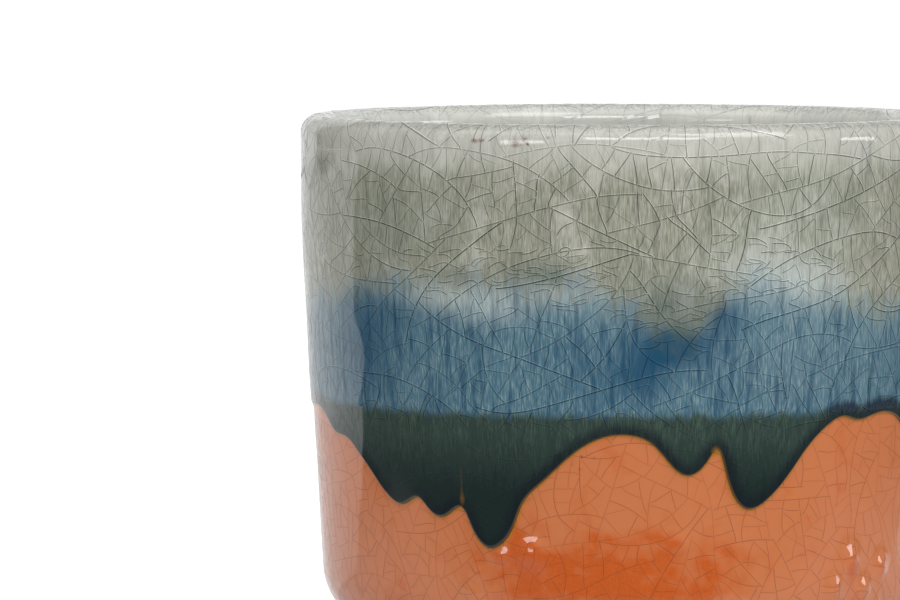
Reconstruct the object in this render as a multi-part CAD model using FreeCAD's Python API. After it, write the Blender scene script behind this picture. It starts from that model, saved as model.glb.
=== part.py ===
"""A glazed cachepot: a fired clay pot, the glaze coats laid over it one after another, and its felt pads.

Millimetres, +Z up. The origin is on the pot's axis, at the surface that the pads stand on.
Azimuths are in degrees, counted from the -Y side towards +X. A drawn profile's x is its radius.
"""
import FreeCAD
import Part

import itertools
import math
import os

from FreeCAD import Vector

# Fired clay pot
pot_height = 120.0  # from the foot's flat to the crown of the lip
rim_diameter = 148.2  # outside, on the upright stretch under the lip
wall_thickness = 6.0
upright_depth = 14.0  # from the crown to where the wall starts to lean inwards
bend_height = 20.0  # over which the wall turns to its taper
taper_angle = 3.3  # degrees, on the straight wall below the bend
corner_radius = 15.5  # outside, from the wall to the underside
inner_corner_radius = 10.0
floor_thickness = 7.0

# Turned foot
foot_inset = 2.2  # from where the rounded corner ends to the foot
foot_width = 9.0
foot_height = 2.5  # from its flat to the pot's underside beside it
recess_depth = 3.0  # from its flat to the underside within it
foot_edge_radius = 0.8
foot_root_radius = 1.0

# Glaze coats, in the order that they are laid on
first_coat_thickness = 0.5  # of the lining inside and of the orange glaze outside
first_coat_end_angle = -68.0  # degrees, where the orange glaze stops on the rounded corner
first_coat_edge_bevel = 0.2
underside_coat_thickness = 0.4
underside_coat_margin = 1.5  # bare clay left beside the foot
dark_band_depth = 36.0  # from the crown to the dark glaze's upper edge
dark_coat_thickness = 0.9  # at the tip of the longest run
dark_coat_edge = 0.1  # at the band's upper edge
dip_line_depth = 63.5  # from the crown to the pale glaze's lower edge
longest_run = 30.0  # from the dip line to the tip of the longest run
run_edge_radius = 0.9  # of the rolled edge of the runs
pale_coat_thickness = 0.4
pale_coat_edge = 0.1  # what is left of it at its two edges
pale_coat_lap = 9.0  # how far it laps down the inside, from the crown

# Felt pads, stuck to the foot
pad_count = 4
pad_diameter = 7.0
pad_thickness = 1.5
first_pad_azimuth = 45.0

# One overrun for every cut
overrun = 4.0

# The runs' lower edge. Each row is one run: its left flank, its tip, its right flank and the notch
# after it. Each point is an azimuth, and a share of the longest run counted down from the dip line.
run_edge_shares = (
    ((-70.0, 0.12), (-65.0, 0.23), (-61.0, 0.25), (-57.5, 0.33)),
    ((-53.0, 0.48), (-47.6, 0.67), (-44.5, 0.71), (-40.6, 0.65)),
    ((-38.2, 0.73), (-34.8, 0.78), (-31.2, 0.70)),
    ((-28.8, 0.86), (-25.0, 1.00), (-21.6, 0.90), (-18.6, 0.64), (-15.0, 0.49), (-8.5, 0.25), (-2.3, 0.14)),
    ((4.0, 0.19), (7.4, 0.34), (10.7, 0.44), (13.6, 0.38), (16.0, 0.25)),
    ((18.4, 0.50), (22.4, 0.70), (26.8, 0.60), (33.0, 0.30), (38.5, 0.09), (42.0, 0.04)),
    ((45.0, 0.07), (50.0, 0.04)),
    ((55.5, 0.05), (59.5, 0.16), (64.0, 0.37), (68.0, 0.40), (71.5, 0.33)),
    ((74.5, 0.46), (79.0, 0.60), (83.5, 0.46), (90.0, 0.20), (97.0, 0.12)),
    ((102.0, 0.18), (105.5, 0.44), (110.0, 0.84), (114.0, 0.88), (118.0, 0.66), (121.5, 0.56)),
    ((125.5, 0.64), (129.5, 0.52), (137.0, 0.22), (145.0, 0.10)),
    ((151.0, 0.16), (155.5, 0.36), (160.0, 0.45), (164.5, 0.34)),
    ((168.5, 0.54), (173.0, 0.76), (177.5, 0.62), (184.0, 0.30), (194.0, 0.10)),
    ((203.0, 0.18), (208.5, 0.60), (213.5, 0.93), (218.0, 0.78), (222.0, 0.56)),
    ((226.5, 0.60), (231.5, 0.42), (239.0, 0.16), (247.0, 0.08)),
    ((250.5, 0.24), (254.5, 0.50), (258.5, 0.53), (262.5, 0.30), (267.0, 0.10)),
    ((273.0, 0.05), (279.0, 0.06), (284.5, 0.05)),
)


def polar(centre, radius, degrees):
    """The point at that radius and angle from a centre, in a drawn profile."""
    angle = math.radians(degrees)
    return Vector(centre.x + radius * math.cos(angle), 0, centre.z + radius * math.sin(angle))


def arc(centre, radius, start, end):
    """An arc in a drawn profile, from one angle in degrees to another."""
    ends_and_middle = [polar(centre, radius, angle) for angle in (start, (start + end) / 2, end)]
    return Part.Arc(*ends_and_middle).toShape()


def path(*corners):
    """Straight edges through the corners. One given as (point, radius) is rounded."""
    points = [corner if isinstance(corner, Vector) else corner[0] for corner in corners]
    radii = [0 if isinstance(corner, Vector) else corner[1] for corner in corners]
    edges = []
    start = points[0]
    for before, corner, after, radius in zip(points, points[1:], points[2:], radii[1:]):
        if not radius:
            edges.append(Part.LineSegment(start, corner).toShape())
            start = corner
            continue
        back = (before - corner).normalize()
        onward = (after - corner).normalize()
        half_angle = back.getAngle(onward) / 2
        reach = radius / math.tan(half_angle)
        inward = (back + onward).normalize()
        middle = corner + inward * (radius / math.sin(half_angle) - radius)
        end = corner + onward * reach
        edges.append(Part.LineSegment(start, corner + back * reach).toShape())
        edges.append(Part.Arc(corner + back * reach, middle, end).toShape())
        start = end
    edges.append(Part.LineSegment(start, points[-1]).toShape())
    return edges


def turned(edges):
    """The solid that a closed profile makes when it is turned round the pot's axis."""
    profile = Part.Face(Part.Wire(Part.__sortEdges__(edges)))
    return profile.revolve(Vector(0, 0, 0), Vector(0, 0, 1), 360)


# Levels and centres that the clay and every coat share
foot_level = pad_thickness
underside_level = foot_level + foot_height
recess_level = foot_level + recess_depth
floor_level = recess_level + floor_thickness
crown_level = foot_level + pot_height
dark_top_level = crown_level - dark_band_depth
dip_level = crown_level - dip_line_depth
tip_level = dip_level - longest_run
rim_radius = rim_diameter / 2
lip_radius = wall_thickness / 2
lip_centre = Vector(rim_radius - lip_radius, 0, crown_level - lip_radius)
bend_radius = bend_height / math.sin(math.radians(taper_angle))
bend_centre = Vector(rim_radius - bend_radius, 0, crown_level - upright_depth)


def on_taper(offset, level):
    """The point at that level on the straight wall's outer side, or at an offset outwards from it."""
    bend_end = polar(bend_centre, bend_radius + offset, -taper_angle)
    return Vector(bend_end.x - (bend_end.z - level) * math.tan(math.radians(taper_angle)), 0, level)


corner_centre = on_taper(-corner_radius, underside_level + corner_radius)
inner_corner_centre = on_taper(-wall_thickness - inner_corner_radius, floor_level + inner_corner_radius)
foot_radius = corner_centre.x - foot_inset
foot_inner_radius = foot_radius - foot_width


def crown_point(offset):
    return Vector(lip_centre.x, 0, crown_level + offset)


def upper_outside(offset):
    """Lip, upright stretch and bend of the outer side, moved outwards by the offset."""
    radius = bend_radius + offset
    return [
        arc(lip_centre, lip_radius + offset, 90, 0),
        *path(polar(lip_centre, lip_radius + offset, 0), polar(bend_centre, radius, 0)),
        arc(bend_centre, radius, 0, -taper_angle),
    ]


def outside(offset, end_angle):
    """The whole outer side, moved outwards by the offset, to that angle on its rounded corner."""
    bend_end = polar(bend_centre, bend_radius + offset, -taper_angle)
    corner_start = polar(corner_centre, corner_radius + offset, -taper_angle)
    return [
        *upper_outside(offset),
        *path(bend_end, corner_start),
        arc(corner_centre, corner_radius + offset, -taper_angle, end_angle),
    ]


def inside(offset):
    """The whole inner side, from the crown to the axis, moved into the pot by the offset."""
    radius = bend_radius - wall_thickness - offset
    corner = inner_corner_radius - offset
    return [
        arc(lip_centre, lip_radius + offset, 90, 180),
        *path(polar(lip_centre, lip_radius + offset, 180), polar(bend_centre, radius, 0)),
        arc(bend_centre, radius, 0, -taper_angle),
        *path(polar(bend_centre, radius, -taper_angle), polar(inner_corner_centre, corner, -taper_angle)),
        arc(inner_corner_centre, corner, -taper_angle, -90),
        *path(polar(inner_corner_centre, corner, -90), Vector(0, 0, floor_level + offset)),
    ]


def stoneware_body():
    foot = path(
        polar(corner_centre, corner_radius, -90),
        (Vector(foot_radius, 0, underside_level), foot_root_radius),
        (Vector(foot_radius, 0, foot_level), foot_edge_radius),
        (Vector(foot_inner_radius, 0, foot_level), foot_edge_radius),
        (Vector(foot_inner_radius, 0, recess_level), foot_root_radius),
        Vector(0, 0, recess_level),
        Vector(0, 0, floor_level),
    )
    return turned([*outside(0, -90), *inside(0), *foot])


def lining_glaze():
    thickness = first_coat_thickness
    at_crown = path(crown_point(0), crown_point(thickness))
    at_axis = path(Vector(0, 0, floor_level), Vector(0, 0, floor_level + thickness))
    return turned([*inside(0), *inside(thickness), *at_crown, *at_axis])


def orange_base_glaze():
    """It covers the outside from the crown to a bevelled edge, low on the corner."""
    thickness = first_coat_thickness
    at_crown = path(crown_point(0), crown_point(thickness))
    end = first_coat_end_angle
    bevelled_by = math.degrees(first_coat_edge_bevel / corner_radius)
    at_corner = path(
        polar(corner_centre, corner_radius, end),
        polar(corner_centre, corner_radius + thickness - first_coat_edge_bevel, end),
        polar(corner_centre, corner_radius + thickness, end + bevelled_by),
    )
    return turned([*outside(0, end), *outside(thickness, end + bevelled_by), *at_crown, *at_corner])


def underside_glaze():
    """A disc of glaze within the foot, where a rim of clay was wiped bare."""
    radius = foot_inner_radius - underside_coat_margin
    lower_side = Vector(0, 0, recess_level - underside_coat_thickness)
    return Part.makeCylinder(radius, underside_coat_thickness, lower_side)


def dark_face(level, beyond=0):
    """The point at that level on the dark coat's outer side. The coat thickens evenly down the pot."""
    share_down = (dark_top_level - level) / (dark_top_level - tip_level)
    grown = dark_coat_edge + (dark_coat_thickness - dark_coat_edge) * share_down
    return on_taper(first_coat_thickness + grown + beyond, level)


def off_wall(azimuth, height, level):
    """The point at that azimuth, level and height off the orange glaze."""
    angle = math.radians(azimuth)
    radius = on_taper(first_coat_thickness + height, level).x
    return Vector(radius * math.sin(angle), -radius * math.cos(angle), level)


def closed_curve(points):
    """One smooth closed curve through the points, as an edge for each run."""
    curve = Part.BSplineCurve()
    curve.interpolate(Points=points, PeriodicFlag=True)
    run_starts = itertools.accumulate(len(run) for run in run_edge_shares[:-1])
    cuts = [curve.parameter(points[index]) for index in run_starts]
    stretches = zip([curve.FirstParameter, *cuts], [*cuts, curve.LastParameter])
    return [curve.toShape(start, end) for start, end in stretches]


def run_edge(height, drawn_in):
    """The runs' lower edge, at a height off the wall and drawn up into the coat, square to the edge."""
    degree = math.radians(1) * rim_radius
    spots = []
    for azimuth, share in itertools.chain(*run_edge_shares):
        spots.append((azimuth, dip_level - share * longest_run))
    before = [(spots[-1][0] - 360, spots[-1][1]), *spots[:-1]]
    after = [*spots[1:], (spots[0][0] + 360, spots[0][1])]
    points = []
    for (azimuth, level), (azimuth_0, level_0), (azimuth_1, level_1) in zip(spots, before, after):
        slope = math.atan2(level_1 - level_0, (azimuth_1 - azimuth_0) * degree)
        moved = azimuth - drawn_in * math.sin(slope) / degree
        points.append(off_wall(moved, height, level + drawn_in * math.cos(slope)))
    return closed_curve(points)


def level_edge(height, level):
    """A level ring at a height off the wall, with its edges ending where those of run_edge do."""
    azimuths = [azimuth for azimuth, _ in itertools.chain(*run_edge_shares)]
    return closed_curve([off_wall(azimuth, height, level) for azimuth in azimuths])


def below_runs():
    """Everything beside the wall that lies lower than the runs' rolled edge."""
    bottom_level = tip_level - overrun
    outermost = run_edge_radius + overrun
    rings = [level_edge(-overrun, bottom_level), run_edge(-overrun, 0)]
    for angle in (math.radians(30), math.radians(60), math.radians(90)):
        rings.append(run_edge(run_edge_radius * math.sin(angle), run_edge_radius * (1 - math.cos(angle))))
    rings += [run_edge(outermost, run_edge_radius), level_edge(outermost, bottom_level)]
    faces = []
    for ring, next_ring in zip(rings, rings[1:]):
        faces += [Part.makeRuledSurface(first, second) for first, second in zip(ring, next_ring)]
    ends = [Part.Wire(rings[0]), Part.Wire(rings[-1])]
    faces.append(Part.makeFace(ends, "Part::FaceMakerBullseye"))
    skin = Part.Compound(faces)
    skin.sewShape()
    return Part.Solid(skin.Shells[0])


def dark_run_glaze():
    """The skilled part: a band that thickens downwards and ends in runs with a rolled edge."""
    lowest_level = tip_level - overrun / 2
    band = turned(path(
        on_taper(first_coat_thickness, dark_top_level),
        dark_face(dark_top_level),
        dark_face(lowest_level),
        on_taper(first_coat_thickness, lowest_level),
        on_taper(first_coat_thickness, dark_top_level),
    ))
    return band.cut(below_runs())


def pale_rim_glaze():
    """The last coat. The rim was dipped in it upside down, so it laps over the lip and ends level."""
    under = first_coat_thickness
    over = under + pale_coat_thickness
    inner_side = rim_radius - wall_thickness
    lap_level = crown_level - pale_coat_lap
    lapped = path(
        polar(lip_centre, lip_radius + over, 180),
        Vector(inner_side - under - pale_coat_edge, 0, lap_level),
        Vector(inner_side - under, 0, lap_level),
        polar(lip_centre, lip_radius + under, 180),
    )
    down_the_wall = path(
        polar(bend_centre, bend_radius + over, -taper_angle),
        on_taper(over, dark_top_level),
        dark_face(dip_level, pale_coat_edge),
        dark_face(dip_level),
        dark_face(dark_top_level),
        on_taper(under, dark_top_level),
        polar(bend_centre, bend_radius + under, -taper_angle),
    )
    lip = [arc(lip_centre, lip_radius + offset, 90, 180) for offset in (under, over)]
    return turned([*upper_outside(under), *upper_outside(over), *lip, *lapped, *down_the_wall])


def felt_pad(azimuth):
    angle = math.radians(azimuth)
    radius = foot_radius - foot_width / 2
    middle = Vector(radius * math.sin(angle), -radius * math.cos(angle), 0)
    return Part.makeCylinder(pad_diameter / 2, pad_thickness, middle)


def pieces():
    named = {
        "stoneware_body": stoneware_body(),
        "lining_glaze": lining_glaze(),
        "underside_glaze": underside_glaze(),
        "orange_base_glaze": orange_base_glaze(),
        "dark_run_glaze": dark_run_glaze(),
        "pale_rim_glaze": pale_rim_glaze(),
    }
    for number in range(pad_count):
        named[f"felt_pad_{number + 1}"] = felt_pad(first_pad_azimuth + 360 * number / pad_count)
    return named


os.makedirs("parts", exist_ok=True)
for name, shape in pieces().items():
    if not shape.isValid() or len(shape.Solids) != 1:
        raise ValueError(f"{name} is not one valid solid")
    shape.exportStep(f"parts/{name}.step")
    print(f"{name}: {shape.Volume:.1f} cubic mm")
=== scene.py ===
"""A glazed cachepot's looks: its glaze coats and their runs, their crackle, bare clay and a studio.

Metres, +Z up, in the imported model's frame. Azimuths are counted from the -Y side towards +X. A profile
point is one complex number, radius + 1j * level.
"""

import math
from collections import namedtuple
from types import SimpleNamespace

import bmesh
import bpy
import numpy as np
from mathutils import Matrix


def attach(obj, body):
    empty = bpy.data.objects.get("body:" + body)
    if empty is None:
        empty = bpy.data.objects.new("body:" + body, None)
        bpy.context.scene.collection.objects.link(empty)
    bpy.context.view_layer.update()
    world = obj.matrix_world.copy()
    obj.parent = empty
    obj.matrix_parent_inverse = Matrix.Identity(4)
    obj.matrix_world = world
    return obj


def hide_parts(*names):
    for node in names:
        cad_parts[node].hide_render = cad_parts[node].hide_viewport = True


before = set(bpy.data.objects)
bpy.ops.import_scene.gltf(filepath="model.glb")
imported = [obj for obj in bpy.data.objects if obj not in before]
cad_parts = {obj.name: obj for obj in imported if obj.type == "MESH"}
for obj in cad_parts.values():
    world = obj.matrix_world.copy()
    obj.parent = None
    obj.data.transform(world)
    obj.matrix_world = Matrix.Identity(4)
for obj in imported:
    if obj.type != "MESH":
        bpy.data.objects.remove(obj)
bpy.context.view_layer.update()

bl_info = {
    "name": "Glazed cachepot",
    "version": (1, 0, 0),
    "blender": (4, 5, 0),
    "location": "3D View > Sidebar > Cachepot",
    "description": "Glaze coats with runs and crackle, bare clay and a studio for a cachepot",
    "category": "Object",
}

MM = 0.001
RUN_RADIUS = 71.5 * MM  # of the wall at the runs
DEGREE = math.radians(1) * RUN_RADIUS  # one degree there, as a length
EDGE_STEPS = 2880  # azimuths of a level table
EDGE_REACH = 4.5 * MM  # how far the distance to the runs' edge is worked out
HAIR = 0.01 * MM  # keeps one surface clear of the next
SINK = 0.02 * MM  # how deep a coat's hidden side lies in the coat below
STRIP_LIFT = 0.012 * MM  # of a crack's strip above its coat
CRACKLE_RADIUS = 74.5 * MM  # at which the pale and dark coats' cracks are unrolled
LINING_RADIUS = 67 * MM  # at which the lining's wall cracks are unrolled
FLOOR_NET = 112 * MM  # side of the square net of cracks that is laid on the inner floor
FLOOR_REACH = 54 * MM  # from the axis to the floor's outermost crack
QUIET_REACH = 30 * MM  # from the axis, where the lining's ripple fades out
LIP_BAND = (9 * MM, 19 * MM)  # along the outer line, where fine wrinkles lie on the lip
# The direction of the light that the cracks' painted highlights face.
PAINTED_LIGHT_TURN = math.radians(-68)  # up and a little to the right, where distance runs downwards
LINING_SEED = 5  # of the lining's ripple

# The runs' lower edge. Each row is one run: its left flank, its tip, its right flank and the notch
# after it. Each point is an azimuth, and a share of the longest run counted down from the dip line.
RUN_EDGE_SHARES = (
    ((-70.0, 0.12), (-65.0, 0.23), (-61.0, 0.25), (-57.5, 0.33)),
    ((-53.0, 0.48), (-47.6, 0.67), (-44.5, 0.71), (-40.6, 0.65)),
    ((-38.2, 0.73), (-34.8, 0.78), (-31.2, 0.70)),
    ((-28.8, 0.86), (-25.0, 1.00), (-21.6, 0.90), (-18.6, 0.64), (-15.0, 0.49), (-8.5, 0.25), (-2.3, 0.14)),
    ((4.0, 0.19), (7.4, 0.34), (10.7, 0.44), (13.6, 0.38), (16.0, 0.25)),
    ((18.4, 0.50), (22.4, 0.70), (26.8, 0.60), (33.0, 0.30), (38.5, 0.09), (42.0, 0.04)),
    ((45.0, 0.07), (50.0, 0.04)),
    ((55.5, 0.05), (59.5, 0.16), (64.0, 0.37), (68.0, 0.40), (71.5, 0.33)),
    ((74.5, 0.46), (79.0, 0.60), (83.5, 0.46), (90.0, 0.20), (97.0, 0.12)),
    ((102.0, 0.18), (105.5, 0.44), (110.0, 0.84), (114.0, 0.88), (118.0, 0.66), (121.5, 0.56)),
    ((125.5, 0.64), (129.5, 0.52), (137.0, 0.22), (145.0, 0.10)),
    ((151.0, 0.16), (155.5, 0.36), (160.0, 0.45), (164.5, 0.34)),
    ((168.5, 0.54), (173.0, 0.76), (177.5, 0.62), (184.0, 0.30), (194.0, 0.10)),
    ((203.0, 0.18), (208.5, 0.60), (213.5, 0.93), (218.0, 0.78), (222.0, 0.56)),
    ((226.5, 0.60), (231.5, 0.42), (239.0, 0.16), (247.0, 0.08)),
    ((250.5, 0.24), (254.5, 0.50), (258.5, 0.53), (262.5, 0.30), (267.0, 0.10)),
    ((273.0, 0.05), (279.0, 0.06), (284.5, 0.05)),
)

# Where the grey glaze turns blue: azimuth, and millimetres above the dip line.
BLUE_EDGE = (
    (-70.0, 25.0), (-61.0, 25.8), (-43.0, 28.5), (-32.0, 27.9), (-22.0, 28.9), (-13.0, 28.0), (-5.0, 27.0),
    (1.0, 23.0), (6.0, 18.5), (11.5, 17.5), (15.0, 22.0), (21.0, 29.5), (30.0, 29.0), (40.0, 26.0),
    (52.0, 23.0), (68.0, 26.0), (84.0, 29.5), (97.0, 23.0), (108.0, 16.0), (117.0, 21.0), (130.0, 29.0),
    (148.0, 27.0), (163.0, 30.0), (177.0, 25.5), (192.0, 18.5), (204.0, 20.0), (217.0, 28.0), (234.0, 26.5),
    (250.0, 29.5), (266.0, 27.0), (278.0, 22.5),
)

# Soft ovals in and under the glaze. Each row is an azimuth, millimetres above the dip line, half the
# width in degrees, half the height in millimetres, and an amount.
PALE_CLOUDS = (
    (-34.0, 25.5, 7.0, 3.0, 0.48), (-24.0, 24.5, 6.0, 4.0, 0.55), (-11.0, 27.0, 7.0, 2.5, 0.35),
    (23.0, 33.0, 9.0, 6.0, 0.45), (34.0, 29.5, 8.0, 5.0, 0.68), (29.0, 45.0, 10.0, 10.0, 0.25),
    (32.0, 13.0, 14.0, 10.0, 0.1),
    (88.0, 30.0, 9.0, 5.0, 0.6), (133.0, 31.0, 8.0, 5.0, 0.6), (160.0, 28.0, 10.0, 4.0, 0.4),
    (222.0, 31.0, 9.0, 6.0, 0.7), (252.0, 28.0, 8.0, 4.0, 0.5),
)
DEEP_CLOUDS = (
    (-52.0, 15.0, 7.0, 12.0, 0.6), (8.5, 15.5, 7.5, 5.0, 1.3), (3.0, 9.0, 5.0, 5.0, 0.6),
    (7.0, 25.0, 9.0, 6.0, 0.75), (-14.0, 31.0, 6.0, 3.5, 0.7), (-30.0, 30.5, 5.0, 2.0, 0.4),
    (-44.0, 42.0, 14.0, 9.0, 0.3), (-42.0, 22.0, 9.0, 4.0, 0.5), (-54.0, 12.0, 7.0, 12.0, 0.3),
    (40.0, 45.0, 5.0, 9.0, 0.22),
    (17.0, 22.0, 4.0, 5.0, 0.6), (-3.0, 8.0, 9.0, 7.0, 0.45), (-58.0, 24.0, 4.0, 4.0, 0.4),
    (61.0, 14.0, 6.0, 8.0, 0.5), (106.0, 13.0, 8.0, 5.0, 0.9), (146.0, 14.0, 9.0, 8.0, 0.5),
    (195.0, 15.0, 8.0, 5.0, 1.0), (240.0, 13.0, 8.0, 8.0, 0.5), (274.0, 17.0, 6.0, 6.0, 0.6),
)
RICH_CLOUDS = (
    (-13.0, -38.0, 13.0, 8.0, 0.9), (-20.0, -27.0, 4.0, 6.0, 0.8), (4.0, -36.0, 9.0, 7.0, 0.6),
    (-4.0, -27.0, 3.5, 3.0, 0.45), (6.5, -27.5, 4.0, 2.5, 0.45), (18.0, -31.0, 5.0, 4.0, 0.35),
    (-43.0, -42.0, 7.0, 4.0, 0.3), (33.0, -30.0, 6.0, 4.0, 0.25), (45.5, -35.5, 2.5, 3.0, 0.7),
    (14.0, -40.0, 12.0, 8.0, 0.55), (2.0, -32.0, 16.0, 6.0, 0.3),
    (54.0, -36.5, 2.0, 2.5, 0.6), (-16.5, -31.5, 5.0, 3.0, 0.6),
    (90.0, -38.0, 12.0, 7.0, 0.9), (124.0, -30.0, 8.0, 6.0, 0.7), (162.0, -40.0, 12.0, 6.0, 0.8),
    (205.0, -34.0, 10.0, 8.0, 0.9), (247.0, -38.0, 12.0, 7.0, 0.9), (280.0, -30.0, 8.0, 6.0, 0.6),
)
# Iron that bleeds into the glaze
SPECKS = (
    (-26.8, 60.7, 0.9, 0.6, 0.8), (-25.3, 60.9, 0.6, 0.5, 0.9), (-19.2, 60.2, 1.3, 1.0, 0.9),
    (-17.4, 61.4, 0.6, 0.5, 0.7), (-17.0, 60.2, 0.7, 0.5, 0.9), (-13.4, 61.6, 0.6, 0.4, 0.8),
    (-34.6, 49.1, 0.7, 0.7, 0.7), (-45.3, 48.5, 0.6, 0.4, 0.5), (-7.9, -9.0, 0.6, 0.5, 0.8),
    (-5.7, -9.2, 0.5, 0.5, 0.7), (-9.7, -10.8, 0.6, 0.4, 0.6), (-8.3, -11.7, 0.5, 0.5, 0.7),
    (-32.8, -32.2, 0.6, 0.5, 0.7), (102.0, 58.0, 1.2, 0.8, 0.8), (105.0, 59.5, 0.7, 0.5, 0.8),
    (178.0, -22.0, 0.7, 0.6, 0.7), (205.0, 58.0, 0.8, 0.6, 0.8), (239.0, -30.0, 0.6, 0.5, 0.7),
)
# Places where the dark glaze is thin
GOLDEN_SPOTS = (
    (15.8, -7.9, 1.0, 1.5, 1.1), (-30.6, -15.0, 0.5, 5.5, 0.62), (-30.4, -19.4, 0.9, 1.5, 0.6),
    (96.5, -8.0, 0.8, 1.5, 1.0), (146.0, -6.0, 0.9, 1.5, 1.0), (214.0, -5.0, 0.8, 1.5, 1.0),
)
# Swellings under the orange glaze, whose amount is their height in millimetres
BLISTERS = (
    (-23.3, -31.6, 1.7, 1.8, 0.62), (-17.2, -31.0, 3.0, 2.9, 1.0), (-29.8, -40.0, 1.6, 2.6, 0.66),
    (-28.2, -35.6, 1.5, 1.6, 0.42), (9.5, -28.6, 2.2, 1.8, 0.40), (45.1, -34.0, 2.3, 3.4, 1.05),
    (54.3, -36.2, 1.9, 2.8, 0.95), (49.5, -41.0, 1.9, 2.8, 1.0), (41.7, -40.0, 2.0, 2.8, 0.95),
    (53.6, -44.0, 2.0, 1.6, 0.6), (118.0, -36.0, 1.8, 1.8, 0.55), (123.0, -33.0, 1.5, 2.0, 0.5),
    (196.0, -28.0, 1.9, 1.6, 0.55), (201.0, -31.0, 1.4, 2.0, 0.5), (262.0, -38.0, 1.8, 1.8, 0.55),
)


def tint(red, green, blue):
    """A colour of 0 to 255 as the linear values that a shader takes."""
    part = np.array([red, green, blue]) / 255
    return tuple(np.where(part <= 0.04045, part / 12.92, ((part + 0.055) / 1.055) ** 2.4).tolist())


def length(name, description, default):
    return bpy.props.FloatProperty(
        name=name, description=description, default=default, unit="LENGTH", precision=5
    )


def angle(name, description, degrees):
    return bpy.props.FloatProperty(
        name=name, description=description, default=math.radians(degrees), subtype="ANGLE"
    )


def colour(name, description, red, green, blue):
    return bpy.props.FloatVectorProperty(
        name=name, description=description, default=tint(red, green, blue), subtype="COLOR", min=0, max=1
    )


class CachepotSizes(bpy.types.PropertyGroup):
    """Sizes of the clay pot and its coats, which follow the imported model."""

    crown_level: length("Crown level", "From the table to the clay's crown", 121.5 * MM)
    rim_radius: length("Rim radius", "Clay's outside radius under the lip", 74.1 * MM)
    wall_thickness: length("Wall thickness", "Clay wall", 6.0 * MM)
    upright_depth: length("Upright depth", "From the crown to where the wall starts to lean in", 14.0 * MM)
    bend_height: length("Bend height", "Over which the wall turns to its taper", 20.0 * MM)
    taper_angle: angle("Taper angle", "Lean of the straight wall", 3.3)
    corner_radius: length("Corner radius", "Outside, from the wall to the underside", 15.5 * MM)
    inner_corner_radius: length("Inner corner radius", "Inside, from the wall to the floor", 10.0 * MM)
    floor_level: length("Floor level", "Clay floor inside", 11.5 * MM)
    underside_level: length("Underside level", "Clay underside beside the foot", 4.0 * MM)
    first_coat: length("First coat", "Thickness of the lining and of the orange glaze", 0.5 * MM)
    orange_end_angle: angle("Orange end angle", "Where the orange glaze stops on the rounded corner", -68.0)
    dark_band_depth: length("Dark band depth", "From the crown to the dark glaze's upper edge", 36.0 * MM)
    dark_coat: length("Dark coat", "Dark glaze's thickness at the tip of the longest run", 0.9 * MM)
    dark_coat_edge: length("Dark coat's edge", "Dark glaze's thickness at its upper edge", 0.1 * MM)
    dip_line_depth: length("Dip line depth", "From the crown to the pale glaze's lower edge", 63.5 * MM)
    longest_run: length("Longest run", "From the dip line to the tip of the longest run", 30.0 * MM)
    run_edge_radius: length("Run edge radius", "Of the rolled edge of the runs", 0.9 * MM)
    pale_coat: length("Pale coat", "Pale glaze's thickness", 0.4 * MM)
    pale_coat_edge: length("Pale coat's edge", "Pale glaze's thickness at its edges", 0.1 * MM)
    pale_coat_lap: length("Pale coat's lap", "Down the inside, from the crown", 9.0 * MM)
    ripple: length("Ripple", "Height of the glaze's soft waves", 0.045 * MM)
    # The bright side of a crackle line is a painted highlight.
    crackle_width: length("Crackle width", "Of a line of the crackle, bright side too", 0.62 * MM)
    craze_width: length("Craze width", "Of a line of the orange glaze's craze", 0.26 * MM)


class CachepotColours(bpy.types.PropertyGroup):
    """Colours of the glazes, the clay and the floor."""

    grey: colour("Grey glaze", "Pale glaze over the orange coat", 168, 169, 154)
    grey_streak: colour("Grey streak", "Darker streaks in the grey glaze", 122, 124, 108)
    grey_shade: colour("Grey shade", "Dark patches of the grey glaze", 74, 92, 88)
    # The rim colour is also painted light from above on the lip.
    rim: colour("Rim glaze", "Pale glaze where it is thick on the lip", 214, 213, 206)
    white_bloom: colour("White bloom", "Whitish clouds", 188, 196, 192)
    blue: colour("Blue glaze", "Pale glaze over the dark coat", 70, 106, 124)
    blue_streak: colour("Blue streak", "Pale streaks in the blue glaze", 142, 164, 165)
    deep_blue: colour("Deep blue", "Thick patches of the blue glaze", 24, 72, 100)
    olive: colour("Olive streak", "Streaks just below the dip line", 76, 96, 86)
    dark: colour("Dark glaze", "Bare dark glaze", 20, 37, 35)
    navy: colour("Navy glaze", "Thick toes of the runs", 11, 20, 29)
    blue_black: colour("Blue-black glaze", "Blue glaze just above the runs' edge", 8, 28, 50)
    golden: colour("Golden edge", "Thin glaze along the runs", 168, 116, 22)
    orange: colour("Orange glaze", "Orange coat", 196, 116, 72)
    rich_orange: colour("Rich orange", "Thick patches of the orange coat", 190, 84, 24)
    iron: colour("Iron speck", "Specks that bleed into the glaze", 104, 62, 40)
    rust: colour("Rust line", "Craze lines in the orange coat", 108, 46, 30)
    lining: colour("Lining glaze", "Pale grey glaze inside", 220, 220, 213)
    lining_shade: colour("Lining shade", "Greyer clouds of the lining", 206, 207, 200)
    clay: colour("Clay", "Bare fired stoneware", 178, 152, 122)
    clay_fleck: colour("Clay fleck", "Iron flecks in the clay", 96, 68, 48)
    floor: colour("Studio floor", "Plain pale floor", 236, 236, 236)


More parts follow.
